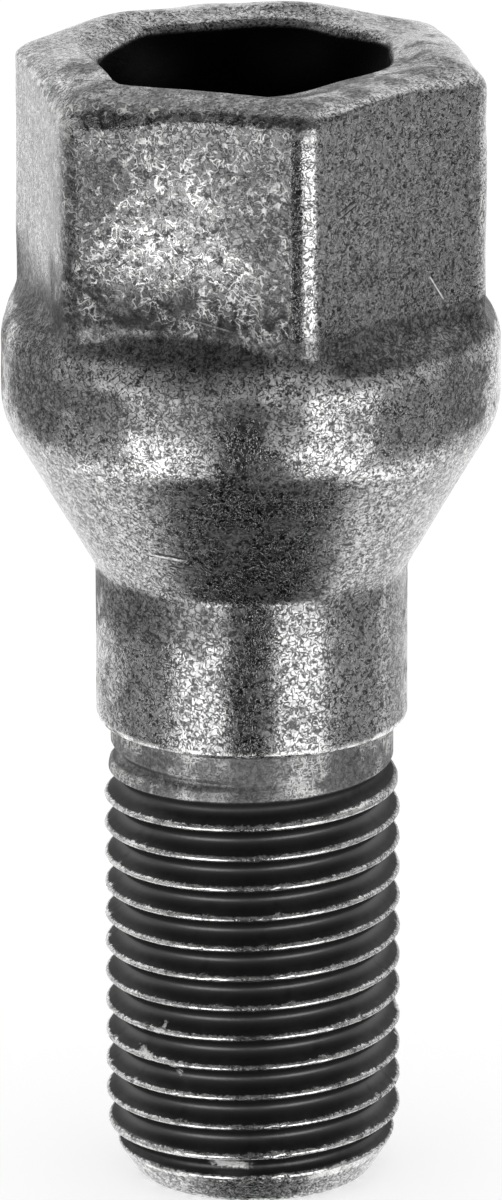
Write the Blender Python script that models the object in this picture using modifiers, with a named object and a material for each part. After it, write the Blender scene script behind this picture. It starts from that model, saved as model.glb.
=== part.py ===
"""Wheel bolt with a cone seat, a hollow hexagon head and a fine right-hand thread.

It is one forged and thread-rolled piece. Units are metres, +Z up. The bolt's axis is the Z axis, the
origin is the centre of its flat thread end, and the head is on top. Angles round the axis are measured
from -Y, the front, towards +X.
"""

import math

import bmesh
import bpy
from mathutils import Matrix

# Thread
THREAD_DIAMETER = 0.0118
THREAD_PITCH = 0.00125
FLANK_ANGLE = math.radians(30)
# The metric thread form: the crest flat and the depth as parts of the pitch
CREST_FLAT_PART = 1 / 8
DEPTH_PART = 0.6134
FIRST_CREST_HEIGHT = 0.00111
RUN_OUT_TURNS = 0.62

# Thread end
END_FACE_DIAMETER = 0.0094
END_CHAMFER_LENGTH = 0.0019
END_CHAMFER_ROUND = 0.003
END_EDGE_ROUND = 0.0006

# Neck between the thread and the plain shank
NECK_DIAMETER = 0.01126
NECK_LENGTH = 0.00155
NECK_TAPER_LENGTH = 0.0015
NECK_CORNER_ROUND = 0.00015
RUN_OUT_TO_SHOULDER = 0.00107

# Plain shank and cone seat
SHANK_DIAMETER = 0.01238
SHANK_LENGTH = 0.00642
SHANK_EDGE_ROUND = 0.0003
UNDER_SEAT_LENGTH = 0.02547
SEAT_CONE_ANGLE = math.radians(60)
SEAT_FOOT_ROUND = 0.0008

# Collar
COLLAR_DIAMETER = 0.0197
COLLAR_WIDTH = 0.0038
COLLAR_LOWER_ROUND = 0.003
COLLAR_UPPER_ROUND = 0.0016
COLLAR_TOP_SLOPE = math.radians(32)

# Hexagon head
HEX_ACROSS_FLATS = 0.017
HEX_LENGTH = 0.01085
HEX_CORNER_ROUND = 0.00125
HEX_CROWN_ROUND = 0.0014
HEX_CORNER_ANGLE = math.radians(13)

# Recess in the head
RECESS_ACROSS_FLATS = 0.0105
RECESS_DEPTH = 0.0085
RECESS_CORNER_ROUND = 0.0016
RECESS_LIP_ROUND = 0.0008
RECESS_FLOOR_ROUND = 0.0007

# A hexagon's corner lies this far round from the middle of a flat
HALF_SIDE_ANGLE = math.radians(30)

# How finely the round shapes are divided
STEPS_ROUND = 36
STEPS_ARC = 3
# How far a cutter or a joined shape runs past the surface that it crosses
OVERRUN = 0.0005
SHARP_EDGE_ANGLE = math.radians(32)

SHOULDER_HEIGHT = UNDER_SEAT_LENGTH - SHANK_LENGTH
COLLAR_FOOT_HEIGHT = UNDER_SEAT_LENGTH + (COLLAR_DIAMETER - SHANK_DIAMETER) / 2 / math.tan(
    SEAT_CONE_ANGLE / 2
)
COLLAR_TOP_HEIGHT = COLLAR_FOOT_HEIGHT + COLLAR_WIDTH
BOLT_LENGTH = COLLAR_TOP_HEIGHT + HEX_LENGTH

CREST_FLAT = THREAD_PITCH * CREST_FLAT_PART
THREAD_DEPTH = THREAD_PITCH * DEPTH_PART


def clear_scene():
    for found in list(bpy.data.objects):
        bpy.data.objects.remove(found, do_unlink=True)


def new_collection(name):
    made = bpy.data.collections.new(name)
    bpy.context.scene.collection.children.link(made)
    return made


def new_object(name, mesh, collection):
    made = bpy.data.objects.new(name, mesh)
    collection.objects.link(made)
    return made


def rounded_outline(corners):
    """The points of an outline given as (radius, height, rounding), each corner rounded by an arc.

    The arc touches both sides, so its ends lie rounding * tan(half the turn) from the corner. It is
    held within half of the shorter side.
    """
    points = []
    for index, (radius, height, rounding) in enumerate(corners):
        if not rounding or index in (0, len(corners) - 1):
            points.append((radius, height))
            continue
        before, after = corners[index - 1], corners[index + 1]
        into = (radius - before[0], height - before[1])
        out = (after[0] - radius, after[1] - height)
        length_in, length_out = math.hypot(*into), math.hypot(*out)
        into = (into[0] / length_in, into[1] / length_in)
        out = (out[0] / length_out, out[1] / length_out)
        turn = math.atan2(into[0] * out[1] - into[1] * out[0], into[0] * out[0] + into[1] * out[1])
        reach = min(rounding * math.tan(abs(turn) / 2), 0.5 * min(length_in, length_out))
        rounding = reach / math.tan(abs(turn) / 2)
        side = math.copysign(1, turn)
        start = (radius - into[0] * reach, height - into[1] * reach)
        centre = (start[0] - side * into[1] * rounding, start[1] + side * into[0] * rounding)
        for step in range(STEPS_ARC + 1):
            part = turn * step / STEPS_ARC
            x, y = start[0] - centre[0], start[1] - centre[1]
            points.append(
                (
                    centre[0] + x * math.cos(part) - y * math.sin(part),
                    centre[1] + x * math.sin(part) + y * math.cos(part),
                )
            )
    return points


def turned_blank(collection):
    """The round parts in one turned shape, from inside the head down to the thread end."""
    core_radius = HEX_ACROSS_FLATS / 2 - OVERRUN
    slope = (COLLAR_DIAMETER / 2 - core_radius) * math.tan(COLLAR_TOP_SLOPE)
    corners = [
        (0, COLLAR_TOP_HEIGHT + slope, 0),
        (core_radius, COLLAR_TOP_HEIGHT + slope, 0),
        (COLLAR_DIAMETER / 2, COLLAR_TOP_HEIGHT, COLLAR_UPPER_ROUND),
        (COLLAR_DIAMETER / 2, COLLAR_FOOT_HEIGHT, COLLAR_LOWER_ROUND),
        (SHANK_DIAMETER / 2, UNDER_SEAT_LENGTH, SEAT_FOOT_ROUND),
        (SHANK_DIAMETER / 2, SHOULDER_HEIGHT, SHANK_EDGE_ROUND),
        (NECK_DIAMETER / 2, SHOULDER_HEIGHT, NECK_CORNER_ROUND),
        (NECK_DIAMETER / 2, SHOULDER_HEIGHT - NECK_LENGTH, 0),
        (THREAD_DIAMETER / 2, SHOULDER_HEIGHT - NECK_LENGTH - NECK_TAPER_LENGTH, 0),
        (THREAD_DIAMETER / 2, END_CHAMFER_LENGTH, END_CHAMFER_ROUND),
        (END_FACE_DIAMETER / 2, 0, END_EDGE_ROUND),
        (0, 0, 0),
    ]
    outline = rounded_outline(corners)
    mesh = bpy.data.meshes.new("turned_blank")
    mesh.from_pydata(
        [(radius, 0, height) for radius, height in outline],
        [(index, index + 1) for index in range(len(outline) - 1)],
        [],
    )
    blank = new_object("wheel_bolt", mesh, collection)
    screw = blank.modifiers.new("turn", "SCREW")
    screw.axis = "Z"
    screw.angle = 2 * math.pi
    screw.steps = screw.render_steps = STEPS_ROUND
    screw.use_merge_vertices = True
    screw.merge_threshold = 1e-6
    return blank


def hexagon_face(bm, across_flats, corner_round, height):
    """A level hexagon with rounded corners, one corner towards -Y turned by HEX_CORNER_ANGLE."""
    made = bmesh.ops.create_circle(
        bm, segments=6, radius=across_flats / 2 / math.cos(HALF_SIDE_ANGLE), cap_ends=True
    )
    bmesh.ops.bevel(
        bm,
        geom=made["verts"],
        offset=corner_round * math.tan(HALF_SIDE_ANGLE),
        segments=STEPS_ARC,
        profile=0.5,
        affect="VERTICES",
    )
    # create_circle sets its first corner on +Y, and six equal turns bring one to -Y.
    place = Matrix.Translation((0, 0, height)) @ Matrix.Rotation(HEX_CORNER_ANGLE, 4, "Z")
    bmesh.ops.transform(bm, matrix=place, verts=bm.verts)
    return bm.faces[:][0]


def hexagon_prism(name, collection, across_flats, corner_round, levels):
    """A hexagon carried up through levels of (height, across flats), each an extrusion and a scaling.

    An extrusion leaves its face behind. The first one closes the foot, and the others are removed.
    """
    bm = bmesh.new()
    face = hexagon_face(bm, across_flats, corner_round, levels[0][0])
    bmesh.ops.scale(bm, vec=(levels[0][1] / across_flats,) * 2 + (1,), verts=face.verts)
    for (low, width), (high, next_width) in zip(levels, levels[1:]):
        grown = bmesh.ops.extrude_face_region(bm, geom=[face])["geom"]
        if low > levels[0][0]:
            bmesh.ops.delete(bm, geom=[face], context="FACES_ONLY")
        face = next(item for item in grown if isinstance(item, bmesh.types.BMFace))
        bmesh.ops.translate(bm, vec=(0, 0, high - low), verts=face.verts)
        bmesh.ops.scale(bm, vec=(next_width / width,) * 2 + (1,), verts=face.verts)
    bmesh.ops.recalc_face_normals(bm, faces=bm.faces)
    mesh = bpy.data.meshes.new(name)
    bm.to_mesh(mesh)
    bm.free()
    return new_object(name, mesh, collection)


def quarter_arc(radius):
    """Steps of a quarter circle, as (along, across) distances from its start."""
    angles = [math.pi / 2 * step / STEPS_ARC for step in range(STEPS_ARC + 1)]
    return [(radius * math.sin(angle), radius * (1 - math.cos(angle))) for angle in angles]


def hexagon_head(collection):
    """The head from inside the collar up to its rounded crown."""
    crown_foot = BOLT_LENGTH - HEX_CROWN_ROUND
    levels = [(COLLAR_TOP_HEIGHT - OVERRUN, HEX_ACROSS_FLATS)]
    for along, across in quarter_arc(HEX_CROWN_ROUND):
        levels.append((crown_foot + along, HEX_ACROSS_FLATS - 2 * across))
    return hexagon_prism("head", collection, HEX_ACROSS_FLATS, HEX_CORNER_ROUND, levels)


def recess_cutter(collection):
    """The punch that leaves the recess, with a rounded nose and a flare that leaves a rounded lip."""
    floor = BOLT_LENGTH - RECESS_DEPTH
    lip_foot = BOLT_LENGTH - RECESS_LIP_ROUND
    levels = [(floor, RECESS_ACROSS_FLATS - 2 * RECESS_FLOOR_ROUND)]
    for along, across in reversed(quarter_arc(RECESS_FLOOR_ROUND)[:-1]):
        levels.append((floor + RECESS_FLOOR_ROUND - along, RECESS_ACROSS_FLATS - 2 * across))
    for along, across in quarter_arc(RECESS_LIP_ROUND):
        levels.append((lip_foot + along, RECESS_ACROSS_FLATS + 2 * across))
    levels.append((BOLT_LENGTH + OVERRUN, levels[-1][1]))
    return hexagon_prism("recess_cutter", collection, RECESS_ACROSS_FLATS, RECESS_CORNER_ROUND, levels)


def groove_section(lift):
    """The thread groove's section as (radius, height from its middle), moved out from the axis by lift.

    Its flanks reach a little past the crests and then run straight out, so that one turn of the
    cutter never touches the next.
    """
    crest = THREAD_DIAMETER / 2
    root = crest - THREAD_DEPTH
    past_crest = CREST_FLAT / 4  # well short of where the flanks of two turns would meet
    half_crest_gap = (THREAD_PITCH - CREST_FLAT) / 2
    half_root = half_crest_gap - THREAD_DEPTH * math.tan(FLANK_ANGLE)
    half_out = half_crest_gap + past_crest * math.tan(FLANK_ANGLE)
    lower = [
        (root, -half_root),
        (crest + past_crest, -half_out),
        (crest + OVERRUN, -half_out),
    ]
    upper = [(radius, -height) for radius, height in reversed(lower)]
    return [(radius + lift, height) for radius, height in lower + upper]


def groove_cutter(collection):
    """The thread groove as a section carried up a right-hand helix.

    It starts below the end face. Over its last RUN_OUT_TURNS it moves out from the axis, until it has
    left the neck where it ends, as a rolled thread runs out.
    """
    groove_middle = FIRST_CREST_HEIGHT + THREAD_PITCH / 2
    last_height = SHOULDER_HEIGHT - RUN_OUT_TO_SHOULDER
    first_turn = -math.ceil(groove_middle / THREAD_PITCH) - 1
    last_turn = (last_height - groove_middle) / THREAD_PITCH
    lift_at_end = NECK_DIAMETER / 2 - (THREAD_DIAMETER / 2 - THREAD_DEPTH)
    count = round((last_turn - first_turn) * STEPS_ROUND)
    bm = bmesh.new()
    rings = []
    for step in range(count + 1):
        turn = last_turn - (count - step) / STEPS_ROUND
        into_run_out = max(0, 1 - (last_turn - turn) / RUN_OUT_TURNS)
        angle = 2 * math.pi * turn
        ring = []
        for radius, height in groove_section(lift_at_end * into_run_out):
            place = (radius * math.sin(angle), -radius * math.cos(angle))
            ring.append(bm.verts.new((*place, groove_middle + THREAD_PITCH * turn + height)))
        rings.append(ring)
    for ring, following in zip(rings, rings[1:]):
        for index in range(len(ring)):
            other = (index + 1) % len(ring)
            bm.faces.new((ring[index], ring[other], following[other], following[index]))
    bm.faces.new(rings[0])
    bm.faces.new(rings[-1])
    bmesh.ops.triangulate(bm, faces=bm.faces)
    bmesh.ops.recalc_face_normals(bm, faces=bm.faces)
    mesh = bpy.data.meshes.new("groove_cutter")
    bm.to_mesh(mesh)
    bm.free()
    return new_object("groove_cutter", mesh, collection)


def combine(target, other, operation):
    modifier = target.modifiers.new(other.name, "BOOLEAN")
    modifier.operation = operation
    modifier.solver = "EXACT"
    modifier.object = other
    other.hide_render = True
    other.display_type = "WIRE"


def settle(target):
    """Makes the modifiers' result the object's own mesh, smooth but for its sharp edges."""
    bpy.context.view_layer.update()
    graph = bpy.context.evaluated_depsgraph_get()
    mesh = bpy.data.meshes.new_from_object(target.evaluated_get(graph), depsgraph=graph)
    target.modifiers.clear()
    target.data = mesh
    mesh.name = target.name
    mesh.shade_smooth()
    mesh.set_sharp_from_angle(angle=SHARP_EDGE_ANGLE)


def forged_steel():
    material = bpy.data.materials.new("forged_steel")
    material.use_nodes = True
    shader = material.node_tree.nodes["Principled BSDF"]
    shader.inputs["Base Color"].default_value = (0.23, 0.23, 0.235, 1)
    shader.inputs["Metallic"].default_value = 1
    shader.inputs["Roughness"].default_value = 0.42
    return material


def main():
    clear_scene()
    parts = new_collection("wheel_bolt")
    cutters = new_collection("cutters")
    cutters.hide_render = True
    bolt = turned_blank(parts)
    combine(bolt, hexagon_head(cutters), "UNION")
    combine(bolt, recess_cutter(cutters), "DIFFERENCE")
    combine(bolt, groove_cutter(cutters), "DIFFERENCE")
    settle(bolt)
    bolt.data.materials.clear()
    bolt.data.materials.append(forged_steel())


main()
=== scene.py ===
"""Looks of a forged steel wheel bolt with a hollow hexagon head, standing on its thread end.

The bolt's skin is one surface worked out over two parameters: a station along the bolt's outline, from the
middle of the end face to the middle of the recess floor, and an angle round the axis from -Y towards +X.
Lengths are metres, and in the material millimetres.
"""

import math
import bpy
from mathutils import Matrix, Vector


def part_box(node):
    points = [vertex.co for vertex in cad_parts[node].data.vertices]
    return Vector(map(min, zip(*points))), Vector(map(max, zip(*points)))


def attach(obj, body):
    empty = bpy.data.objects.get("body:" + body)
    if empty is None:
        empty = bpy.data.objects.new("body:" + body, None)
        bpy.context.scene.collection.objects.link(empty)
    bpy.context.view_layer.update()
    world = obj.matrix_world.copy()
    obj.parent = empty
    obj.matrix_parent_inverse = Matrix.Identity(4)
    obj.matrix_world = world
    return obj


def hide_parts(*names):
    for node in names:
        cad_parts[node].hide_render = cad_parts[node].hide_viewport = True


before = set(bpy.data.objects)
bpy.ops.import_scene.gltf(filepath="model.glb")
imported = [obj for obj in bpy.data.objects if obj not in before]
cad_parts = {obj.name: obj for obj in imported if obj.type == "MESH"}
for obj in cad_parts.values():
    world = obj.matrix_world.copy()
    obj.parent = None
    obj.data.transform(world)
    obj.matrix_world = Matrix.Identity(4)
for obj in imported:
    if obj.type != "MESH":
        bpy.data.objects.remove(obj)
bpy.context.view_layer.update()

from types import SimpleNamespace

import bpy
import numpy as np
from bpy.props import FloatProperty, FloatVectorProperty, IntProperty, PointerProperty
from bpy.types import Operator, Panel, PropertyGroup
from mathutils import Matrix, Vector

bl_info = {
    "name": "Wheel bolt",
    "version": (1, 0, 0),
    "blender": (4, 5, 0),
    "location": "3D View > Sidebar > Wheel bolt",
    "description": "Forged wheel bolt with its steel finish and a plain studio",
    "category": "Object",
}

BOLT = "wheel_bolt"
BOLT_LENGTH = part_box(BOLT)[1].z
MM = 0.001
TURN = 2 * math.pi
# Height of the photograph in pixels, by which the camera's shift is given
PHOTO_HEIGHT = 1200

# Rows of the skin in one pitch of the thread, so that its crests lie along rows
ROWS_A_PITCH = 16
# Outside the thread, how far apart the skin's rows are at a height, both in millimetres
ROW_SPACING = (
    (0, 0.6), (0.01, 0.07), (0.3, 0.07), (18.4, 0.078), (19.05, 0.06), (19.4, 0.06), (19.9, 0.4),
    (24.6, 0.4), (25.0, 0.13), (26.0, 0.13), (26.5, 0.42), (30.2, 0.42), (30.8, 0.2), (34.9, 0.2),
    (35.2, 0.11), (37.9, 0.11), (38.6, 0.36), (44.6, 0.36), (45.0, 0.2),
)
# Rows over the crown, the land, the lip, the recess wall and the recess floor
TOP_ROWS = (22, 9, 11, 12, 9)
# How strongly the skin's columns crowd together at the hexagon's corners
CROWDING = 0.05
# Places along a turn of the thread's crest that may be nicked
NICKS_A_TURN = 60
# Share of the groove's own height in its middle that is taken off again, so that the root stays deep
ROOT_SHARE = 0.55

# Height above which the hexagon is joined on, how far under its flats the core lies, and where the core ends
HEXAGON_FOOT = 33.5 * MM
CORE_INSET = 1.1 * MM
WALL_TOP = 0.045
# Depth of the hollows in the lip at both sides, and of the rounding of the recess floor
LIP_HOLLOW = 0.16 * MM
FLOOR_DISH = 0.7 * MM
# The forged head is uneven. Its levels are given every 30 degrees from the front corner round by the right,
# corner and flat in turn, as depths under the bolt's top in millimetres, and CROWN_WIDTHS as shares of the
# crown's width. The mouth of the recess is given every 15 degrees, as distances from the axis in millimetres.
CROWN_TOPS = (0.12, 0.15, 0.05, 0.14, 0.54, 0.02, 0.22, 0.02, 0.33, 0.18, 0.22, 0.11)
CROWN_FEET = (0.97, 0.39, 1.09, 0.73, 0.84, 0.82, 1.46, 0.88, 0.95, 1.1, 1.7, 0.95)
CROWN_WIDTHS = (0.92, 0.76, 1.01, 0.98, 1.17, 0.77, 1.28, 0.69, 1.19, 1.2, 1.35, 1.0)
LIP_LEVELS = (0.46, 0.36, 0.29, 0.33, 0.48, 0.34, 0.38, 0.37, 0.42, 0.35, 0.6, 0.51)
RECESS_MOUTH = (5.46, 5.08, 4.92, 5.18, 5.38, 5.5, 5.59, 6.09, 6.04, 5.81, 5.96, 5.77,
                5.67, 5.76, 6.09, 5.88, 5.99, 5.88, 5.9, 5.89, 6.0, 6.0, 5.66, 5.65)

# Masks that the skin carries to its material
MASKS = ("crest", "thread", "root", "recess", "rim", "brow")
# Greys that the finish's settings leave alone
STEEL_STROKE = (0.025, 0.025, 0.025)
DARK_MARK = (0.03, 0.03, 0.03)
# Near-black inside the recess, painted shade
RECESS_PAINTED_SHADE = (0.012, 0.012, 0.012)
SKIN_PITS = (0.05, 0.05, 0.052)
SKIN_CRESTS = (0.28, 0.28, 0.28)
SKIN_STROKE = (0.02, 0.02, 0.02)
NECK_FILM = (0.2, 0.2, 0.2)
# Tint of what the forged skin mirrors at grazing angles
SKIN_TINT = (0.45, 0.45, 0.45, 1)

# Scratches and burrs seen from the front: both ends (x and height) and the half width, in millimetres
FINE_MARKS = {
    "dark": (
        (-4.0, 27.75, -2.35, 27.6, 0.07),
        (-3.3, 27.2, -2.4, 27.1, 0.06),
        (3.45, 28.2, 4.0, 28.1, 0.08),
        (3.4, 42.0, 4.1, 42.4, 0.05),
        (3.5, 41.8, 4.2, 42.2, 0.05),
        (-6.9, 38.9, -5.6, 38.3, 0.32),
        (-5.2, 37.3, -3.2, 37.5, 0.35),
    ),
    "bright": (
        (-4.1, 27.62, -2.5, 27.5, 0.05),
        (6.91, 38.64, 7.59, 37.33, 0.03),
        (-2.6, 37.75, -0.6, 37.3, 0.06),
        (-3.75, 7.1, -3.45, 7.65, 0.1),
        (-4.55, 6.15, -3.85, 6.02, 0.15),
        (-3.35, 5.85, -2.9, 5.8, 0.09),
        (-2.95, 5.35, -2.8, 5.75, 0.06),
        (-1.95, 2.0, 0.15, 1.85, 0.26),
    ),
}


class ThreadSizes(PropertyGroup):
    """Sizes of the thread, its chamfered end and its run-out."""

    diameter: FloatProperty(name="Diameter", description="Across the crests", default=0.0118, unit="LENGTH")
    pitch: FloatProperty(name="Pitch", description="From crest to crest", default=0.00125, unit="LENGTH")
    crest_flat: FloatProperty(
        name="Crest flat", description="Width of the crests", default=0.000156, unit="LENGTH"
    )
    crest_round: FloatProperty(
        name="Crest rounding", description="How softly the crests are worn", default=0.00006, unit="LENGTH"
    )
    depth: FloatProperty(name="Depth", description="From crest to root", default=0.000767, unit="LENGTH")
    root_round: FloatProperty(
        name="Root rounding", description="Rounding in the grooves", default=0.00026, unit="LENGTH"
    )
    first_crest: FloatProperty(
        name="First crest", description="Height of the crest line at the front",
        default=0.00111, unit="LENGTH",
    )
    end_face: FloatProperty(
        name="End face", description="Diameter of the flat end", default=0.0094, unit="LENGTH"
    )
    chamfer: FloatProperty(
        name="Chamfer", description="Length of the chamfered end", default=0.0019, unit="LENGTH"
    )
    run_out_turns: FloatProperty(
        name="Run-out", description="Turns over which the groove leaves the neck", default=0.42
    )
    run_out_gap: FloatProperty(
        name="Run-out gap", description="From the groove's end to the shoulder",
        default=0.00087, unit="LENGTH",
    )


class ShankSizes(PropertyGroup):
    """Sizes of the neck, the plain shank, the cone seat and the collar."""

    neck: FloatProperty(name="Neck", description="Diameter of the neck", default=0.01126, unit="LENGTH")
    neck_length: FloatProperty(
        name="Neck length", description="Straight part of the neck", default=0.00155, unit="LENGTH"
    )
    neck_taper: FloatProperty(
        name="Neck taper", description="Length of the taper into the thread", default=0.0015, unit="LENGTH"
    )
    shank: FloatProperty(
        name="Shank", description="Diameter of the plain shank", default=0.01238, unit="LENGTH"
    )
    shank_length: FloatProperty(
        name="Shank length", description="Length of the plain shank", default=0.00642, unit="LENGTH"
    )
    under_seat: FloatProperty(
        name="Under seat", description="From the end face to the seat's foot",
        default=0.02547, unit="LENGTH",
    )
    seat_angle: FloatProperty(
        name="Seat angle", description="Whole angle of the cone", default=math.radians(60), unit="ROTATION"
    )
    collar: FloatProperty(
        name="Collar", description="Diameter of the collar", default=0.0197, unit="LENGTH"
    )
    collar_width: FloatProperty(
        name="Collar width", description="Height of the collar", default=0.0038, unit="LENGTH"
    )
    collar_slope: FloatProperty(
        name="Collar slope", description="Slope of the collar's top",
        default=math.radians(32), unit="ROTATION",
    )


class HeadSizes(PropertyGroup):
    """Sizes of the hexagon head, its crown and its recess."""

    across_flats: FloatProperty(
        name="Across flats", description="Wrench size", default=0.017, unit="LENGTH"
    )
    corner_round: FloatProperty(
        name="Corner rounding", description="Rounding of the corners", default=0.0015, unit="LENGTH"
    )
    corner_angle: FloatProperty(
        name="Corner angle", description="Where the front corner is",
        default=math.radians(13), unit="ROTATION",
    )
    fillet: FloatProperty(
        name="Fillet", description="Softness of the foot of the flats", default=0.0011, unit="LENGTH"
    )
    crown_width: FloatProperty(
        name="Crown width", description="How far the crown's rounding reaches in",
        default=0.0019, unit="LENGTH",
    )
    recess: FloatProperty(name="Recess", description="Recess across flats", default=0.0105, unit="LENGTH")
    recess_round: FloatProperty(
        name="Recess rounding", description="Rounding of the recess corners", default=0.0016, unit="LENGTH"
    )
    recess_depth: FloatProperty(
        name="Recess depth", description="From the top to the recess floor", default=0.0085, unit="LENGTH"
    )
    lip: FloatProperty(name="Lip", description="Rounding of the recess edge", default=0.0005, unit="LENGTH")


class SteelFinish(PropertyGroup):
    """Colours and surface of the steel."""

    steel: FloatVectorProperty(
        name="Steel", description="Bare rubbed steel",
        default=(0.62, 0.62, 0.615), subtype="COLOR", min=0, max=1,
    )
    scale: FloatVectorProperty(
        name="Scale", description="Dark forged skin",
        default=(0.16, 0.162, 0.166), subtype="COLOR", min=0, max=1,
    )
    coating: FloatVectorProperty(
        name="Coating", description="Dark film in the thread",
        default=(0.06, 0.06, 0.062), subtype="COLOR", min=0, max=1,
    )
    root: FloatVectorProperty(
        name="Root", description="Thinner film in the thread's root",
        default=(0.13, 0.13, 0.13), subtype="COLOR", min=0, max=1,
    )
    worn: FloatVectorProperty(
        name="Worn", description="Bright worn edges",
        default=(0.8, 0.8, 0.79), subtype="COLOR", min=0, max=1,
    )
    grain: FloatProperty(
        name="Grain", description="Height of the fine grain", default=0.000007, unit="LENGTH"
    )
    dents: FloatProperty(
        name="Dents", description="Height of the forging's unevenness", default=0.00003, unit="LENGTH"
    )


class StudioSettings(PropertyGroup):
    """The camera, the lamps and the floor."""

    aim: FloatProperty(
        name="Aim", description="Height that the camera aims at", default=0.02376, unit="LENGTH"
    )
    distance: FloatProperty(name="Distance", description="Camera distance", default=0.45, unit="LENGTH")
    elevation: FloatProperty(
        name="Elevation", description="Camera above level", default=math.radians(17.5), unit="ROTATION"
    )
    roll: FloatProperty(
        name="Roll", description="Camera turned about its own axis",
        default=math.radians(-0.2), unit="ROTATION",
    )
    lens: FloatProperty(
        name="Lens", description="Focal length in millimetres", default=340.2, unit="CAMERA"
    )
    strip_power: FloatProperty(
        name="Strip power", description="Power of each strip", default=1.3, unit="POWER"
    )
    strip_azimuth: FloatProperty(
        name="Strip azimuth", description="From the camera to a strip",
        default=math.radians(38), unit="ROTATION",
    )
    strip_turn: FloatProperty(
        name="Strip turn", description="How far both strips are turned to the left",
        default=math.radians(1.3), unit="ROTATION",
    )
    strip_distance: FloatProperty(
        name="Strip distance", description="From the bolt to a strip", default=0.42, unit="LENGTH"
    )
    strip_width: FloatProperty(
        name="Strip width", description="Width of a strip", default=0.285, unit="LENGTH"
    )
    strip_top: FloatProperty(
        name="Strip top", description="Height of a strip's top", default=0.05, unit="LENGTH"
    )
    strip_foot: FloatProperty(
        name="Strip foot", description="Height of a strip's foot", default=-0.5, unit="LENGTH"
    )
    floor: FloatVectorProperty(
        name="Floor", description="Colour of the floor",
        default=(0.82, 0.82, 0.82), subtype="COLOR", min=0, max=1,
    )
    floor_glow: FloatProperty(
        name="Floor glow", description="Light that the floor adds for the camera alone", default=0.55
    )


# Surface


def rounded_outline(corners, steps=14):
    """The points of an outline given as (radius, height, rounding), each corner rounded by an arc.

    An arc touches both sides, so its ends lie rounding * tan(half the turn) from the corner.
    """
    points = []
    for index, (radius, height, rounding) in enumerate(corners):
        if not rounding:
            points.append([(radius, height)])
            continue
        corner = np.array((radius, height))
        into = corner - corners[index - 1][:2]
        out = np.array(corners[index + 1][:2]) - corner
        longest = 0.5 * min(np.hypot(*into), np.hypot(*out))
        into, out = into / np.hypot(*into), out / np.hypot(*out)
        turn = math.atan2(into[0] * out[1] - into[1] * out[0], into @ out)
        reach = min(rounding * math.tan(abs(turn) / 2), longest)
        arc_radius = reach / math.tan(abs(turn) / 2)
        side = math.copysign(1, turn)
        start = corner - into * reach
        centre = start + side * arc_radius * np.array((-into[1], into[0]))
        part = turn * np.arange(steps + 1) / steps
        spoke = start - centre
        points.append(
            np.column_stack(
                (
                    centre[0] + spoke[0] * np.cos(part) - spoke[1] * np.sin(part),
                    centre[1] + spoke[0] * np.sin(part) + spoke[1] * np.cos(part),
                )
            )
        )
    return np.vstack(points)


def smooth_step(value, low, high):
    """0 at low and 1 at high, 3t^2 - 2t^3 between and level beyond them. high may lie below low."""
    part = np.clip((value - low) / (high - low), 0, 1)
    return part * part * (3 - 2 * part)


def fade(length, low, high):
    """smooth_step with its limits in millimetres."""
    return smooth_step(length, low * MM, high * MM)


def soft_max(first, second, width):
    """The larger of two values, with the crease between them filled over width.

    It adds width/4 * (1 - |difference|/width)^2 where they are within width of each other.
    """
    overlap = np.clip(1 - np.abs(first - second) / width, 0, 1)
    return np.maximum(first, second) + 0.25 * width * overlap**2


def soft_min(first, second, width):
    """The smaller of two values, as minus the soft maximum of their negatives."""
    return -soft_max(-first, -second, width)


def hexagon_radius(angle, flat_radius, rounding):
    """Distance from the axis to a rounded hexagon, whose corners are at multiples of 60 degrees.

    Near a corner it is the far crossing of the ray with the corner's arc, and elsewhere flat_radius
    over the cosine of the angle to the middle of the flat.
    """
    away = np.abs((angle + math.pi / 6) % (math.pi / 3) - math.pi / 6)
    centre = (flat_radius - rounding) / math.cos(math.pi / 6)
    across = centre * np.sin(away)
    arc = centre * np.cos(away) + np.sqrt(np.clip(rounding**2 - across**2, 0, None))
    flat = flat_radius / np.cos(math.pi / 6 - away)
    on_arc = (across < rounding) & (np.arctan2(across, arc - centre * np.cos(away)) + away <= math.pi / 6)
    return np.where(on_arc, arc, flat)


def round_the_head(angle, values):
    """A smooth closed wave through values in millimetres at even angles.

    It is the sum of the harmonics that the discrete Fourier transform of the values gives.
    """
    parts = np.fft.rfft(values) / len(values)
    wave = np.full(np.shape(angle), parts[0].real)
    for order, part in enumerate(parts[1:], 1):
        share = 1 if order == len(values) // 2 else 2
        wave = wave + share * (part.real * np.cos(order * angle) - part.imag * np.sin(order * angle))
    return wave * MM


def near_angle(angle, centre, width):
    """A bump of height 1 at an angle, falling off as a bell of that width, all in degrees."""
    off = (np.degrees(angle) - centre + 180) % 360 - 180
    return np.exp(-((off / width) ** 2))


def lattice_noise(angle, height, cells, cell_height, seed):
    """Smooth random values from -1 to 1, in cells round the axis and cells of that height along it.

    Random values on a lattice are joined by the smooth step, and the lattice closes round the axis.
    """
    rows = int(np.ceil((height.max() - height.min()) / cell_height)) + 2
    values = np.random.default_rng(seed).uniform(-1, 1, (rows, cells))
    across = (angle / TURN % 1) * cells
    along = (height - height.min()) / cell_height
    column, row = np.floor(across).astype(int), np.floor(along).astype(int)
    u, v = smooth_step(across - column, 0, 1), smooth_step(along - row, 0, 1)
    low = values[row, column % cells] * (1 - u) + values[row, (column + 1) % cells] * u
    high = values[row + 1, column % cells] * (1 - u) + values[row + 1, (column + 1) % cells] * u
    return low * (1 - v) + high * v


def shoulder_height(shank):
    """Height of the step between the neck and the plain shank."""
    return shank.under_seat - shank.shank_length


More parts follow.
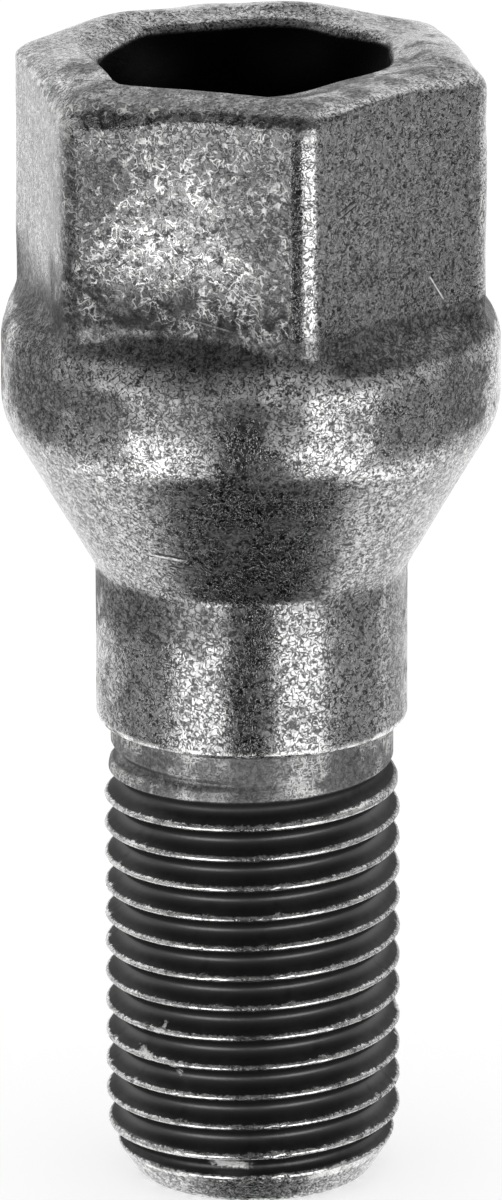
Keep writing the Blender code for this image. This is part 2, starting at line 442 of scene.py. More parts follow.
def side_outline(thread, shank, head):
    """Radii and heights of the bolt's side, from the middle of the end face up to the top of the walls.

    Inside the hexagon it follows a core just under the flats, which the hexagon then covers.
    """
    seat_rise = (shank.collar - shank.shank) / 2 / math.tan(shank.seat_angle / 2)
    shoulder = shoulder_height(shank)
    collar_foot = shank.under_seat + seat_rise
    collar_top = collar_foot + shank.collar_width
    core = head.across_flats / 2 - CORE_INSET
    core_top = collar_top + (shank.collar / 2 - core) * math.tan(shank.collar_slope)
    return rounded_outline(
        [
            (0, 0, 0),
            (thread.end_face / 2, 0, 0.6 * MM),
            (thread.diameter / 2, thread.chamfer, 3 * MM),
            (thread.diameter / 2, shoulder - shank.neck_length - shank.neck_taper, 0),
            (shank.neck / 2, shoulder - shank.neck_length, 0),
            (shank.neck / 2, shoulder, 0.15 * MM),
            (shank.shank / 2, shoulder, 0.3 * MM),
            (shank.shank / 2, shank.under_seat, 0.8 * MM),
            (shank.collar / 2, collar_foot, 3 * MM),
            (shank.collar / 2, collar_top, 1.6 * MM),
            (core, core_top, 0),
            (core, WALL_TOP, 0),
        ]
    ).T


def skin_stations(thread, shank, head):
    """Stations along the bolt's outline, one for each row: an array with a row for each quantity.

    They are the turned radius and height, then how far each station has come over the crown (angle), the
    land, the lip (angle), the recess wall and the recess floor (all 0 to 1 but for the angles).
    """
    radius, height = side_outline(thread, shank, head)
    length = np.concatenate([[0], np.cumsum(np.hypot(np.diff(radius), np.diff(height)))])
    fine = np.linspace(0, length[-1], 8000)
    fine_radius, fine_height = np.interp(fine, length, radius), np.interp(fine, length, height)
    # In the thread a row is a fixed height, elsewhere a length of outline that suits its curves
    low, high = 0.3 * MM, shoulder_height(shank) - 0.6 * MM
    in_thread = (fine_height >= low) & (fine_height <= high)
    spacing = np.interp(fine_height, *(np.array(ROW_SPACING).T * MM))
    row_height = thread.pitch / ROWS_A_PITCH
    advance = np.where(in_thread[1:], np.diff(fine_height) / row_height, np.diff(fine) / spacing[1:])
    rows = np.concatenate([[0], np.cumsum(advance)])
    wanted = np.arange(int(rows[-1]) + 1) * rows[-1] / int(rows[-1])
    turned = np.array([np.interp(wanted, rows, fine_radius), np.interp(wanted, rows, fine_height)])
    quarter = math.pi / 2
    ends = (quarter, 1, quarter, 1, 1)
    stations = np.zeros((7, turned.shape[1] + sum(TOP_ROWS)))
    stations[:2] = np.pad(turned, ((0, 0), (0, sum(TOP_ROWS))), mode="edge")
    first = turned.shape[1]
    for index, (count, end) in enumerate(zip(TOP_ROWS, ends)):
        stations[2 + index, first : first + count] = np.arange(1, count + 1) * end / count
        stations[2 + index, first + count :] = end
        first += count
    return stations


def helix_grid(stations, columns, corner_angle):
    """The skin's vertices as (station, angle) and its triangles.

    Row k at an angle a is at station k + ROWS_A_PITCH * a / (one turn), so that rows climb with the thread
    and row k meets row k + ROWS_A_PITCH where the turn closes. Stations past either end fall together in one
    point on the axis, and triangles that this leaves without area are dropped. Columns crowd together at the
    hexagon's corners.
    """
    last = stations.shape[1] - 1
    even = np.arange(columns) * TURN / columns
    angle = even - CROWDING * (np.sin(6 * (even - corner_angle)) + math.sin(6 * corner_angle))
    row = np.arange(-ROWS_A_PITCH, last + 1)
    station = row[:, None] + ROWS_A_PITCH * angle[None, :] / TURN
    inside = (station > 0.2) & (station < last - 0.2)
    number = np.full(station.shape, -1)
    number[inside] = np.arange(inside.sum())
    foot, top = inside.sum(), inside.sum() + 1
    number[~inside & (station < last / 2)] = foot
    number[~inside & (station > last / 2)] = top
    closing = np.full((len(row), 1), top)
    closing[:-ROWS_A_PITCH, 0] = number[ROWS_A_PITCH:, 0]
    number = np.hstack([number, closing])
    a, b, c, d = number[:-1, :-1], number[:-1, 1:], number[1:, 1:], number[1:, :-1]
    triangles = np.vstack([np.stack(corner, -1).reshape(-1, 3) for corner in ((a, b, c), (a, c, d))])
    distinct = (
        (triangles[:, 0] != triangles[:, 1])
        & (triangles[:, 1] != triangles[:, 2])
        & (triangles[:, 2] != triangles[:, 0])
    )
    angles = np.broadcast_to(angle, station.shape)[inside]
    return np.append(station[inside], (0, last)), np.append(angles, (0, 0)), triangles[distinct]


def thread_groove(angle, height, thread, shank):
    """The groove's radius, and how far along the helix it is in turns.

    The groove's middle climbs one pitch a turn. Its wall rises with the distance from the middle as a
    hyperbola, which has a round root and straight flanks of 30 degrees. Over the last run_out_turns the
    groove moves outwards along its lower flank, until it has left the neck.
    """
    middle = thread.first_crest + thread.pitch / 2
    nearest = np.round((height - middle) / thread.pitch - angle / TURN)
    turns = nearest + angle / TURN
    last_turn = (shoulder_height(shank) - thread.run_out_gap - middle) / thread.pitch
    root = thread.diameter / 2 - thread.depth
    lift = (shank.neck / 2 - root) * np.clip(1 - (last_turn - turns) / thread.run_out_turns, 0, None)
    slope = 1 / math.tan(math.radians(30))
    off = height - middle - thread.pitch * turns + lift / slope
    half_root = (thread.pitch - thread.crest_flat) / 2 - thread.depth / slope
    wall = slope * (np.sqrt(off**2 + thread.root_round**2) - half_root)
    return root + lift + wall - slope * (thread.root_round - half_root) * ROOT_SHARE, turns


def threaded_side(angle, height, turned, thread, shank):
    """Radius of the side with the thread cut into it, and the masks that go with the thread.

    The crests have nicks at random places along the helix, and meet the groove by a soft minimum.
    """
    groove, turns = thread_groove(angle, height, thread, shank)
    along = turns * NICKS_A_TURN
    ragged = lattice_noise(along * 0, along, 1, 1, 5) + 0.6 * lattice_noise(along * 0, along, 1, 0.37, 6)
    nicks = 0.09 * MM * smooth_step(ragged, 0.55, 1.3) - 0.012 * MM * ragged
    crest = turned - nicks * fade(height, 17.4, 17.0) * fade(height, 0.9, 1.6)
    depth = crest - soft_min(crest, groove, thread.crest_round)
    in_thread = fade(height, 18.6, 18.2)
    rubbed = fade(height, 0.9, 1.2) * (1 - 0.7 * fade(height, 17.4, 17.7))
    masks = {
        "crest": np.clip(1 - depth / (0.3 * MM), 0, 1) * in_thread * rubbed,
        "thread": in_thread * fade(depth, 0.03, 0.12) * (1 - 0.5 * fade(height, 17.3, 17.6)),
        "root": in_thread * fade(depth, 0.34, 0.66),
    }
    return crest - depth * in_thread, masks


def head_top(angle, side, height, stages, head):
    """Radius and height over the crown, the land, the lip and the recess, and unchanged below them.

    The crown and the lip are quarter ellipses with a land between them. Inside its mouth the recess
    narrows to a hexagon, and its floor closes as a rounded dish. Slow waves make the rim uneven.
    """
    crown, land, lip, wall, floor = stages
    round_head = angle - head.corner_angle
    top, foot, lip_level = (
        BOLT_LENGTH - round_the_head(round_head, levels) for levels in (CROWN_TOPS, CROWN_FEET, LIP_LEVELS)
    )
    top = np.minimum(top, BOLT_LENGTH - 0.02 * MM)
    lip_level = lip_level - LIP_HOLLOW * (near_angle(angle, 262, 12) + 0.6 * near_angle(angle, 78, 12))
    height = height + (foot - WALL_TOP) * smooth_step(height, 39 * MM, WALL_TOP)

    mouth = round_the_head(round_head, RECESS_MOUTH)
    hexagon = hexagon_radius(round_head, head.recess / 2, head.recess_round)
    narrowed = (np.minimum(hexagon, mouth) - mouth) * smooth_step(wall, 0, 0.3)
    crown_width = head.crown_width * round_the_head(round_head, CROWN_WIDTHS) / MM
    land_width = side - crown_width - mouth - head.lip
    radius = side - crown_width * (1 - np.cos(crown)) - land_width * land - head.lip * np.sin(lip) + narrowed
    radius = radius * np.where(floor > 0, np.sqrt(np.clip(1 - floor**2.2, 0, None)), 1)

    rise = (top - foot) * np.sin(crown) - (top - lip_level) * (land + smooth_step(land, 0, 1)) / 2
    rise = rise - head.lip * (1 - np.cos(lip))
    wall_depth = head.recess_depth - (BOLT_LENGTH - lip_level) - head.lip - FLOOR_DISH
    return radius, height + rise - wall_depth * wall - FLOOR_DISH * smooth_step(floor, 0, 0.7)


def bolt_surface(station, angle, stations, thread, shank, head, dents):
    """Radius and height of the skin, and its masks, at each station and angle.

    Up to the crown the radius is the turned one, cut by the thread's groove and joined to the hexagon by a
    soft maximum. Above the neck, random values on two lattices dent it.
    """
    rows = np.arange(stations.shape[1])
    turned, height, *stages = (np.interp(station, rows, line) for line in stations)
    crown, _, lip, wall, _ = stages
    side, masks = threaded_side(angle, height, turned, thread, shank)
    flats = hexagon_radius(angle - head.corner_angle, head.across_flats / 2, head.corner_round)
    side = np.where(height > HEXAGON_FOOT, soft_max(side, flats, head.fillet), side)
    radius, height = head_top(angle, side, height, stages, head)

    uneven = lattice_noise(angle, height, 13, 2.6 * MM, 1)
    uneven = uneven + 0.55 * lattice_noise(angle, height, 34, 1.1 * MM, 2)
    dented = fade(height, 19.3, 19.8) * (1 - wall) * (0.4 + 0.6 * fade(height, 30, 33))
    radius = radius + dents * uneven * dented
    # The last two vertices are the skin's ends on the axis, the first of them in the end face
    radius[-2:] = 0
    height[-2] = 0
    masks["recess"] = np.clip(smooth_step(lip, 1.1, 1.45) + wall, 0, 1)
    masks["rim"] = smooth_step(crown, 0.5, 1.4)
    masks["brow"] = smooth_step(crown, 0.02, 0.2) * (1 - smooth_step(crown, 0.2, 0.5))
    return radius, height, masks


def new_mesh(name, points, faces, masks):
    """An object made of points and faces, whose points carry each mask's values."""
    mesh = bpy.data.meshes.new(name)
    mesh.from_pydata(points, [], faces.tolist())
    for label, values in masks.items():
        attribute = mesh.attributes.new(label, "FLOAT", "POINT")
        attribute.data.foreach_set("value", np.ascontiguousarray(values, dtype=np.float32))
    mesh.shade_smooth()
    made = bpy.data.objects.new(name, mesh)
    bpy.context.scene.collection.objects.link(made)
    return made


# Shading


class Signal:
    """A number in a material. Arithmetic on it adds Math nodes."""

    def __init__(self, shader, socket):
        self.shader, self.socket = shader, socket

    def _math(self, operation, *values):
        return self.shader.add("Math", {"operation": operation}, dict(enumerate(values)))

    def __add__(self, other):
        return self._math("ADD", self, other)

    def __sub__(self, other):
        return self._math("SUBTRACT", self, other)

    def __mul__(self, other):
        return self._math("MULTIPLY", self, other)

    def __rsub__(self, other):
        return self._math("SUBTRACT", other, self)

    def __pow__(self, other):
        return self._math("POWER", self, other)

    def __abs__(self):
        return self._math("ABSOLUTE", self)

    __radd__, __rmul__ = __add__, __mul__


class Shader:
    """Adds nodes to a node tree."""

    def __init__(self, tree):
        self.tree = tree

    def add(self, kind, settings, sockets, output=0):
        """A node of that type, its settings first and then the values or links of its sockets."""
        node = self.tree.nodes.new("ShaderNode" + kind)
        for name, value in settings.items():
            setattr(node, name, value)
        for name, value in sockets.items():
            if isinstance(value, Signal):
                self.tree.links.new(value.socket, node.inputs[name])
            else:
                node.inputs[name].default_value = value
        return Signal(self, node.outputs[output])

    def noise(self, vector, scale, detail, roughness, distortion=0.0):
        """Smooth noise from 0 to 1."""
        sockets = {"Vector": vector, "Scale": scale, "Detail": detail, "Roughness": roughness}
        return self.add("TexNoise", {}, {**sockets, "Distortion": distortion})

    def step(self, value, low, high):
        """0 at low and 1 at high, smoothly. high may lie below low."""
        settings = {"interpolation_type": "SMOOTHSTEP"}
        return self.add("MapRange", settings, {"Value": value, "From Min": low, "From Max": high})

    def band(self, value, low, full, still, end):
        """1 from full to still, falling to 0 at low and at end."""
        return self.step(value, low, full) * self.step(value, end, still)

    def near(self, value, centre, reach, core):
        """1 within core of centre, falling to 0 at reach."""
        return self.step(abs(value - centre), reach, core)

    def mix(self, factor, first, second):
        """A colour between two colours."""
        colours = {6: first, 7: second}
        for index, colour in colours.items():
            if not isinstance(colour, Signal):
                colours[index] = (*colour, 1)
        return self.add("Mix", {"data_type": "RGBA"}, {0: factor, **colours}, output=2)

    def shaded(self, colour, factor):
        """A colour made lighter or darker."""
        return self.add("VectorMath", {"operation": "SCALE"}, {0: colour, "Scale": factor})

    def scaled(self, vector, factors):
        """A vector with each part times its own factor."""
        return self.add("VectorMath", {"operation": "MULTIPLY"}, {0: vector, 1: factors})


def ridges(shader, vector, scale, detail, low, high, distortion=0.0):
    """Thin curly lines, along which a noise crosses its middle value."""
    noise = shader.noise(vector, scale, detail, 0.55, distortion)
    return shader.step(1 - abs(noise * 2 - 1), low, high)


def mark(shader, x, z, start_x, start_z, end_x, end_z, width):
    """A straight mark between two points seen from the front, soft towards its sides and ends."""
    length = math.hypot(end_x - start_x, end_z - start_z)
    ahead_x, ahead_z = (end_x - start_x) / length, (end_z - start_z) / length
    off_x, off_z = x - (start_x + end_x) / 2, z - (start_z + end_z) / 2
    along = abs(off_x * ahead_x + off_z * ahead_z)
    aside = abs(off_z * ahead_x - off_x * ahead_z)
    return shader.step(aside, width, width / 2) * shader.step(along, length / 2, length / 4)


def most_of(shader, signals):
    """The highest of several signals."""
    highest = signals[0]
    for signal in signals[1:]:
        highest = shader.add("Math", {"operation": "MAXIMUM"}, {0: highest, 1: signal})
    return highest


def total(pairs):
    """The sum of signals, each times its weight."""
    return sum(signal * weight for signal, weight in pairs)


def fine_textures(shader, place):
    """The noises and thin lines of the steel. Their scales are cells in a millimetre."""
    grain = shader.noise(place, 2.4, 5, 0.72)
    curls = ridges(shader, place, 4.4, 2, 0.88, 0.95, 0.6) * shader.step(grain, 0.42, 0.56)
    scratches = ridges(shader, place, 2.0, 2, 0.93, 0.97, 0.5) * shader.step(grain, 0.37, 0.47)
    across_dashes = ridges(shader, shader.scaled(place, (1, 1, 3)), 2.2, 2, 0.9, 0.96)
    upright_dashes = ridges(shader, shader.scaled(place, (3, 3, 1)), 1.7, 2, 0.91, 0.97)
    return SimpleNamespace(
        grit=shader.noise(place, 6.5, 3, 0.65),
        specks=shader.noise(place, 15, 1, 0.6),
        grain=grain,
        mottle=shader.noise(place, 0.65, 4, 0.6),
        patches=shader.noise(shader.scaled(place, (1, 1, 0.8)), 0.33, 3, 0.55),
        flecks=shader.step(shader.noise(place, 1.6, 4, 0.75), 0.38, 0.56),
        curls=most_of(shader, [curls * 0.65, scratches]),
        strokes=ridges(shader, place, 4.4, 1.5, 0.86, 0.93, 0.8),
        glints=ridges(shader, place, 4.8, 1.5, 0.88, 0.95, 0.7),
        hairs=ridges(shader, shader.scaled(place, (1, 1, 0.14)), 3.8, 2, 0.84, 0.94),
        dashes=most_of(shader, [across_dashes, upright_dashes]),
    )


def single_marks(shader, at, fine, kind):
    """The scratches or burrs of one kind on the bolt's front. Those near the thread's end are ragged."""
    ragged = shader.step(at.z, 16, 15)
    mark_x = at.x + (fine.grain - 0.5) * ragged * 1.2
    mark_z = at.z + (fine.grit - 0.5) * ragged * 0.5
    return most_of(shader, [mark(shader, mark_x, mark_z, *line) for line in FINE_MARKS[kind]]) * at.front


def bolt_places(shader, place, fine):
    """Where the bolt's parts, its worn and dull places and the places of its painted light and shade are, 1
    inside and 0 outside.

    With them go x, y and z in millimetres and the masks that the skin carries.
    """
    step, band, near = shader.step, shader.band, shader.near
    x, y, z = (shader.add("SeparateXYZ", {}, {0: place}, output=index) for index in range(3))
    at = SimpleNamespace(x=x, y=y, z=z, front=step(y, 0, -1))
    for name in MASKS:
        setattr(at, name, shader.add("Attribute", {"attribute_name": name}, {}, output="Fac"))

    # The head: its flats, the front corner, the left corner, the foot of the flats and the gleam, a rubbed
    # patch that also carries a painted highlight
    head = step(z, 36.2, 37.6)
    at.flat = head * (1 - at.rim)
    at.corner = near(x, 2.2, 0.8, 0.5) * at.front * at.flat * step(z, 45.4, 45.0)
    at.right = step(x, 1.9, 2.9) * at.front * at.flat
    at.front_left = step(y * -1 - x * 0.25, 4.6, 7.4) * at.flat * (1 - at.corner) * (1 - at.right)
    at.left = step(x, -6.9, -7.8) * at.flat
    at.left_corner = at.flat * at.front * near(x, -7.05, 0.6, 0.3)
    at.foot = step(z, 36.0, 36.8) * step(z + fine.patches * 5, 42.2, 39.4) * (1 - at.right)
    across, up = x + 2.8, z - 40.3
    from_gleam = (across * across + up * up * 0.7) ** 0.5
    at.gleam = at.front_left * step(3.9 - from_gleam + (fine.mottle - 0.5) * 5, 0, 3.4)
    # The fillet and the crease, where painted shade goes
    at.fillet = band(z, 35.3, 35.8, 36.6, 37.4) * step(x, 2.6, 4.0)
    at.crease = band(z, 35.6, 36.2, 37.2, 37.8) * at.front * step(x, 3.8, 2.8)

    # The collar, with the places of its painted light and shade
    at.belt = step(z, 31.4, 32.6) * (1 - head)
    at.upper_belt = band(z, 34.5, 35.2, 35.7, 36.2) * at.belt * (1 - at.fillet)
    at.rough_belt = at.belt * at.front * near(x, 1.4, 1.2, 0.5) * step(z, 32.6, 33.4)
    at.belt_edge = band(z, 30.8, 31.3, 31.9, 32.7) * band(abs(x), 2.6, 4.0, 6.5, 7.5)
    at.belt_foot = band(z, 30.8, 31.3, 32.0, 33.0) * near(x, -0.3, 2.9, 1.9) * at.front
    at.belt_side = at.belt * band(abs(x), 7.0, 8.2, 8.9, 9.35)
    at.dull_belt = at.belt * step(x, 1, -2) * step(z, 32.6, 33.8)

    # The seat, the shank with its edge, the neck and the chamfered end
    at.seat = band(z, 25.6, 26.2, 31.6, 32.6) * step(abs(x), 2.6, 4.6)
    at.shank = band(z, 19.0, 19.2, 25.2, 25.7)
    at.dull_spot = step(x, -0.9, -2.0) * step(z + fine.mottle * 3, 24.2, 25.8) * at.shank
    at.shoulder = band(z, 19.0, 19.08, 19.3, 19.42)
    at.neck = band(z, 16.4, 16.8, 18.95, 19.1)
    at.worn_end = step(z, 1.25, 0.85)

    at.bright_marks = single_marks(shader, at, fine, "bright")
    at.dark_marks = single_marks(shader, at, fine, "dark")
    return at


def rubbed_crests(shader, at, fine):
    """The ragged line along each thread crest where its dark film is rubbed off, narrower towards the right
    as painted shade.
    """
    ragged = at.crest + (fine.grit - 0.5) * 1.1 + (fine.grain - 0.5) * 0.8
    return shader.step(ragged, 0.62, 0.8) * (1 - at.neck * 0.4) * (1 - shader.step(at.x, 4.0, 5.5) * 0.5)


def skin_left(shader, at, fine):
    """How much of the dark forged skin is left on the steel, from 0 to 1, in places set as painted shade and
    light.
    """
    # More skin on the front left flat, at the foot of the flats, in the fillet and at the collar's sides
    # darkens them as painted shade. Less at the gleam, the collar's top and the seat lightens them as painted
    # light. The rest is the skin itself.
    more = total((
        (at.front_left, 0.16),
        (at.front_left * shader.step(at.z, 43.0, 44.6), -0.04),
        (at.gleam, -0.3),
        (at.foot, 0.4),
        (at.foot * at.left, 0.1),
        (at.right, -0.1),
        (at.rim, -0.02),
        (at.rim * at.front, 0.16),
        (at.fillet, 0.3),
        (at.belt, 0.02),
        (at.belt_side, 0.2),
        (at.dull_belt, 0.16),
        (at.upper_belt, -0.12),
        (at.seat, -0.14),
        (at.dull_spot, 0.22),
        (at.neck, 0.8),
        (at.worn_end, -0.2),
    ))
    patchy = shader.step(fine.mottle + (fine.grain - 0.5) * 0.8 + more, 0.48, 0.7)
    kept = (1 - at.left * (1 - at.foot)) * (1 - at.corner * 0.8)
    return patchy * kept * (1 - at.recess) * (1 - at.brow * 0.5)


def painted_light_and_shade(shader, at):
    """How light the bare steel is painted in each place, where 1 is plain. Most terms are painted light and
    shade along bands seen from the front; the rest are wear, dull places and the greyer neck.
    """
    step, near = shader.step, shader.near
    x, y, z = at.x, at.y, at.z
    return 1 + total((
        # The front left flat, its corners and its foot: painted shade over the flat, its foot and the crease,
        # and painted light below the crown, at the left corner, on the left flat and at the gleam
        (at.front_left, -0.62),
        (at.front_left * step(x, -3.6, -5.6), -0.04),
        (at.front_left * step(x, -2.0, -4.5) * step(z, 41, 42.5), -0.08),
        (at.front_left * step(z, 43.6, 44.4), 0.2),
        (at.foot * at.front_left, -0.3),
        (at.gleam, 0.14),
        (at.left, 0.15),
        (at.left_corner, 0.4),
        (at.crease, -0.3),
        # The right flat: painted shade at its far side, at its bottom and in the fillet under it
        (at.right * step(x, 4, 8), -0.1),
        (at.right * step(z, 41, 38), -0.22),
        (at.fillet, -0.55),
        # The crown: darker, with painted shade at the right and at the brow, and painted light at the front
        # left
        (at.rim, -0.15),
        (at.rim * step(x, -6, 6), -0.1),
        (at.rim * step(x, 4.5, 7.0) * step(y, -0.5, 1.5), -0.3),
        (at.rim * at.front * near(x, -6.0, 1.6, 0.6) * step(z, 44.9, 45.3), 0.35),
        (at.brow * step(x, 1.8, 3.2), -0.6),
        # The collar and the seat: painted light on the collar's top, lower edge, middle left and outer edge
        # and on the seat, painted shade at the collar's front foot and sides, and the dull patch darker
        (at.upper_belt, 0.6 - step(x, 1, 3) * 0.3),
        (at.dull_belt, -0.42),
        (at.belt_edge, 0.6),
        (at.belt_foot, -0.55),
        (at.belt_side, step(z, 33, 34) * 0.3 - 0.6),
        (at.belt * near(x, -5.7, 2.0, 1.2), 0.4),
        (at.belt * step(abs(x), 8.9, 9.4), 0.4),
        (at.seat, 0.12),
        # The shank, the neck and the chamfered end: painted light bands and a light left edge on the shank,
        # painted shade at its right edge and on its left side, the dull spot and the greyer neck darker, and
        # the chamfered end worn light but darker to the right as painted shade
        (at.shank, near(abs(x), 3.9, 1.0, 0.5) * 0.3 - step(x, 5.1, 5.6) * 0.3 - 0.04),
        (at.shank * step(x, -1, -3), -0.05),
        (at.shank * step(x, -5.4, -5.8), 0.3),
        (at.dull_spot, -0.3),
        (at.neck, -0.25),
        (at.worn_end, 0.15 - step(x, 0, 4) * 0.25),
    ))


def steel_colour(shader, at, fine, rubbed, tone, finish):
    """Bare steel from its dark grain to its light one, with its painted light and shade, then its strokes,
    glints, worn edges and marks.
    """
    step, mix = shader.step, shader.mix
    colour = mix(step(tone, -0.15, 1.15), finish.scale, finish.steel)
    colour = shader.shaded(colour, painted_light_and_shade(shader, at))
    colour = mix(fine.strokes * 0.9, colour, STEEL_STROKE)
    curled = at.front_left * (step(fine.mottle, 0.42, 0.56) * 0.5 + 0.1) + at.gleam * 0.3
    colour = mix(fine.curls * curled, colour, finish.worn)
    glinting = (0.3 - at.shank * 0.15) * (1 - at.left) * (1 - at.front_left)
    colour = mix(fine.glints * glinting, colour, finish.worn)
    colour = mix(fine.hairs * at.left * 0.4, colour, finish.scale)
    colour = mix(at.brow * step(fine.grain, 0.42, 0.6) * step(at.x, 3, 1) * 0.6, colour, finish.worn)
    colour = mix(at.shoulder * fine.flecks, colour, finish.worn)
    # The rubbed crests are dimmed in the front middle, at both sides and towards the right, as painted shade
    dim = step(abs(at.x), 1.1, 0.6) * at.front * 0.6
    dim = dim + step(abs(at.x), 4.0, 5.6) * 0.75 + step(at.x, 2.5, 4.0) * 0.25
    colour = mix(rubbed * (fine.flecks * 0.8 + 0.2) * (1 - dim), colour, finish.worn)
    # The recess is painted near-black, as painted shade
    colour = mix(at.recess, colour, RECESS_PAINTED_SHADE)
    colour = mix(at.bright_marks * step(fine.grit, 0.3, 0.5), colour, finish.worn)
    return mix(at.dark_marks * 0.85, colour, DARK_MARK)


def skin_colour(shader, at, fine, tone, finish):
    """The dark forged skin with its strokes and curls, the greyer neck, and the thread's film."""
    step, mix = shader.step, shader.mix
    colour = mix(step(tone, 0, 1), SKIN_PITS, SKIN_CRESTS)
    # The neck's skin is greyer, and lighter still on its left as painted light. The front left flat's skin is
    # darker as painted shade, most at its foot.
    lighter = at.neck * (0.45 + step(at.x, -0.5, -2.5) * 0.35)
    colour = shader.shaded(colour, 1 - at.front_left * (0.5 + at.foot * 0.25) + lighter)
    colour = mix(at.neck * 0.6, colour, NECK_FILM)
    colour = mix(fine.strokes * (0.7 - at.neck * 0.4), colour, SKIN_STROKE)
    curled = at.front_left * (1 - at.foot * 0.5) * step(fine.mottle, 0.4, 0.56)
    colour = mix(fine.curls * curled * 0.6, colour, finish.worn)
    dashes = fine.dashes * step(fine.mottle, 0.46, 0.56) * step(abs(at.x - 0.1), 0.8, 1.6)
    colour = mix(dashes * at.neck * 0.8, colour, finish.worn)
    film = mix(at.root, shader.shaded(finish.coating, fine.grain * 0.8 + 0.6), finish.root)
    colour = mix(at.thread, colour, film)
    return mix(at.dark_marks * 0.6, colour, SKIN_STROKE)


def forged_steel(finish):
    """Steel with a fine gritty grain: rubbed on the head and shank, dark in the thread, bright where worn,
    and with painted light and shade in many places.
    """
    material = bpy.data.materials.new("forged_steel_finish")
    material.use_nodes = True
    shader = Shader(material.node_tree)
    place = shader.scaled(shader.add("TexCoord", {}, {}, output="Object"), (1 / MM,) * 3)
    fine = fine_textures(shader, place)
    at = bolt_places(shader, place, fine)
    tone = (fine.grit - 0.5) * 1.8 + (fine.grain - 0.5) * 2.2 + (fine.mottle - 0.5) * 0.6 + 0.5
    rubbed = rubbed_crests(shader, at, fine)
    film = at.thread * (1 - at.worn_end * 0.9) * (1 - at.bright_marks) * (1 - rubbed)
    skin = skin_left(shader, at, fine) * (1 - rubbed * (1 - at.neck))

    height = fine.grit + fine.specks * 0.45 + fine.curls * at.front_left * 0.6
    height = height - fine.hairs * at.left * 0.8 - fine.strokes * 0.8
    height = height + (at.bright_marks - at.dark_marks) * 2
    height = height * (1 - film * 0.85) + fine.mottle * 1.2
    relief = shader.add("Bump", {}, {"Strength": 1.0, "Distance": finish.grain, "Height": height})
    rough_belt = at.rough_belt * 0.3 + at.upper_belt * 0.3
    bare_steel = {
        "Base Color": steel_colour(shader, at, fine, rubbed, tone, finish),
        "Roughness": 0.15 + fine.grit * 0.08 + at.recess * 0.35 + at.bright_marks * 0.2 + rough_belt,
        "Metallic": 1 - at.bright_marks * 0.5,
        "Normal": relief,
    }
    forged_skin = {
        "Base Color": skin_colour(shader, at, fine, tone, finish),
        "Roughness": 0.38 + fine.grit * 0.1 + at.neck * 0.2,
        "Metallic": 1.0,
        "Normal": relief,
        "Specular Tint": SKIN_TINT,
    }
    both = shader.add("MixShader", {}, {
        0: most_of(shader, [film, skin * 0.85]),
        1: shader.add("BsdfPrincipled", {}, bare_steel),
        2: shader.add("BsdfPrincipled", {}, forged_skin),
    })
    output = material.node_tree.nodes["Material Output"]
    material.node_tree.links.new(both.socket, output.inputs["Surface"])
    material.node_tree.nodes.remove(material.node_tree.nodes["Principled BSDF"])
    return material


class WHEELBOLT_OT_skin(Operator):
    """Makes the bolt's steel skin, which stands for the plain CAD solid"""

    bl_idname = "wheel_bolt.skin"
    bl_label = "Make the bolt"

    def execute(self, context):
        scene = context.scene
        thread, shank, head = scene.bolt_thread, scene.bolt_shank, scene.bolt_head
        finish = scene.bolt_finish
        stations = skin_stations(thread, shank, head)
        station, angle, triangles = helix_grid(stations, scene.bolt_columns, head.corner_angle)
        radius, height, masks = bolt_surface(station, angle, stations, thread, shank, head, finish.dents)
        points = np.column_stack((radius * np.sin(angle), -radius * np.cos(angle), height))
        skin = new_mesh("bolt_skin", points, triangles, masks)
        skin.data.materials.append(forged_steel(finish))
        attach(skin, "root")
        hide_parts(BOLT)
        return {"FINISHED"}


# Stage


def strip_lamp(name, azimuth, distance, size, centre, power):
    """An upright lamp that looks at the bolt's axis, from an azimuth measured from -Y towards +X."""
    lamp = bpy.data.lights.new(name, "AREA")
    lamp.shape = "RECTANGLE"
    lamp.size, lamp.size_y = size
    lamp.energy = power
    made = bpy.data.objects.new(name, lamp)
    bpy.context.scene.collection.objects.link(made)
    away = Vector((math.sin(azimuth), -math.cos(azimuth), 0))
    made.location = away * distance + Vector((0, 0, centre))
    made.rotation_mode = "QUATERNION"
    made.rotation_quaternion = away.to_track_quat("Z", "Y")
    made.visible_camera = False
    return made


def floor_finish(colour, glow_strength):
    """A pale floor that keeps the bolt's shadow and is white to the camera elsewhere."""
    material = bpy.data.materials.new("floor")
    material.use_nodes = True
    shader = Shader(material.node_tree)
    principled = material.node_tree.nodes["Principled BSDF"]
    principled.inputs["Base Color"].default_value = (*colour, 1)
    principled.inputs["Roughness"].default_value = 1
    principled.inputs["Specular IOR Level"].default_value = 0
    seen = shader.add("LightPath", {}, {}, output="Is Camera Ray")
    glow = shader.add("Emission", {}, {"Strength": glow_strength})
    nothing = shader.add("Emission", {}, {"Strength": 0.0})
    fill = shader.add("MixShader", {}, {0: seen, 1: nothing, 2: glow})
    lit = Signal(shader, principled.outputs[0])
    both = shader.add("AddShader", {}, {0: lit, 1: fill})
    output = material.node_tree.nodes["Material Output"]
    material.node_tree.links.new(both.socket, output.inputs["Surface"])
    return material


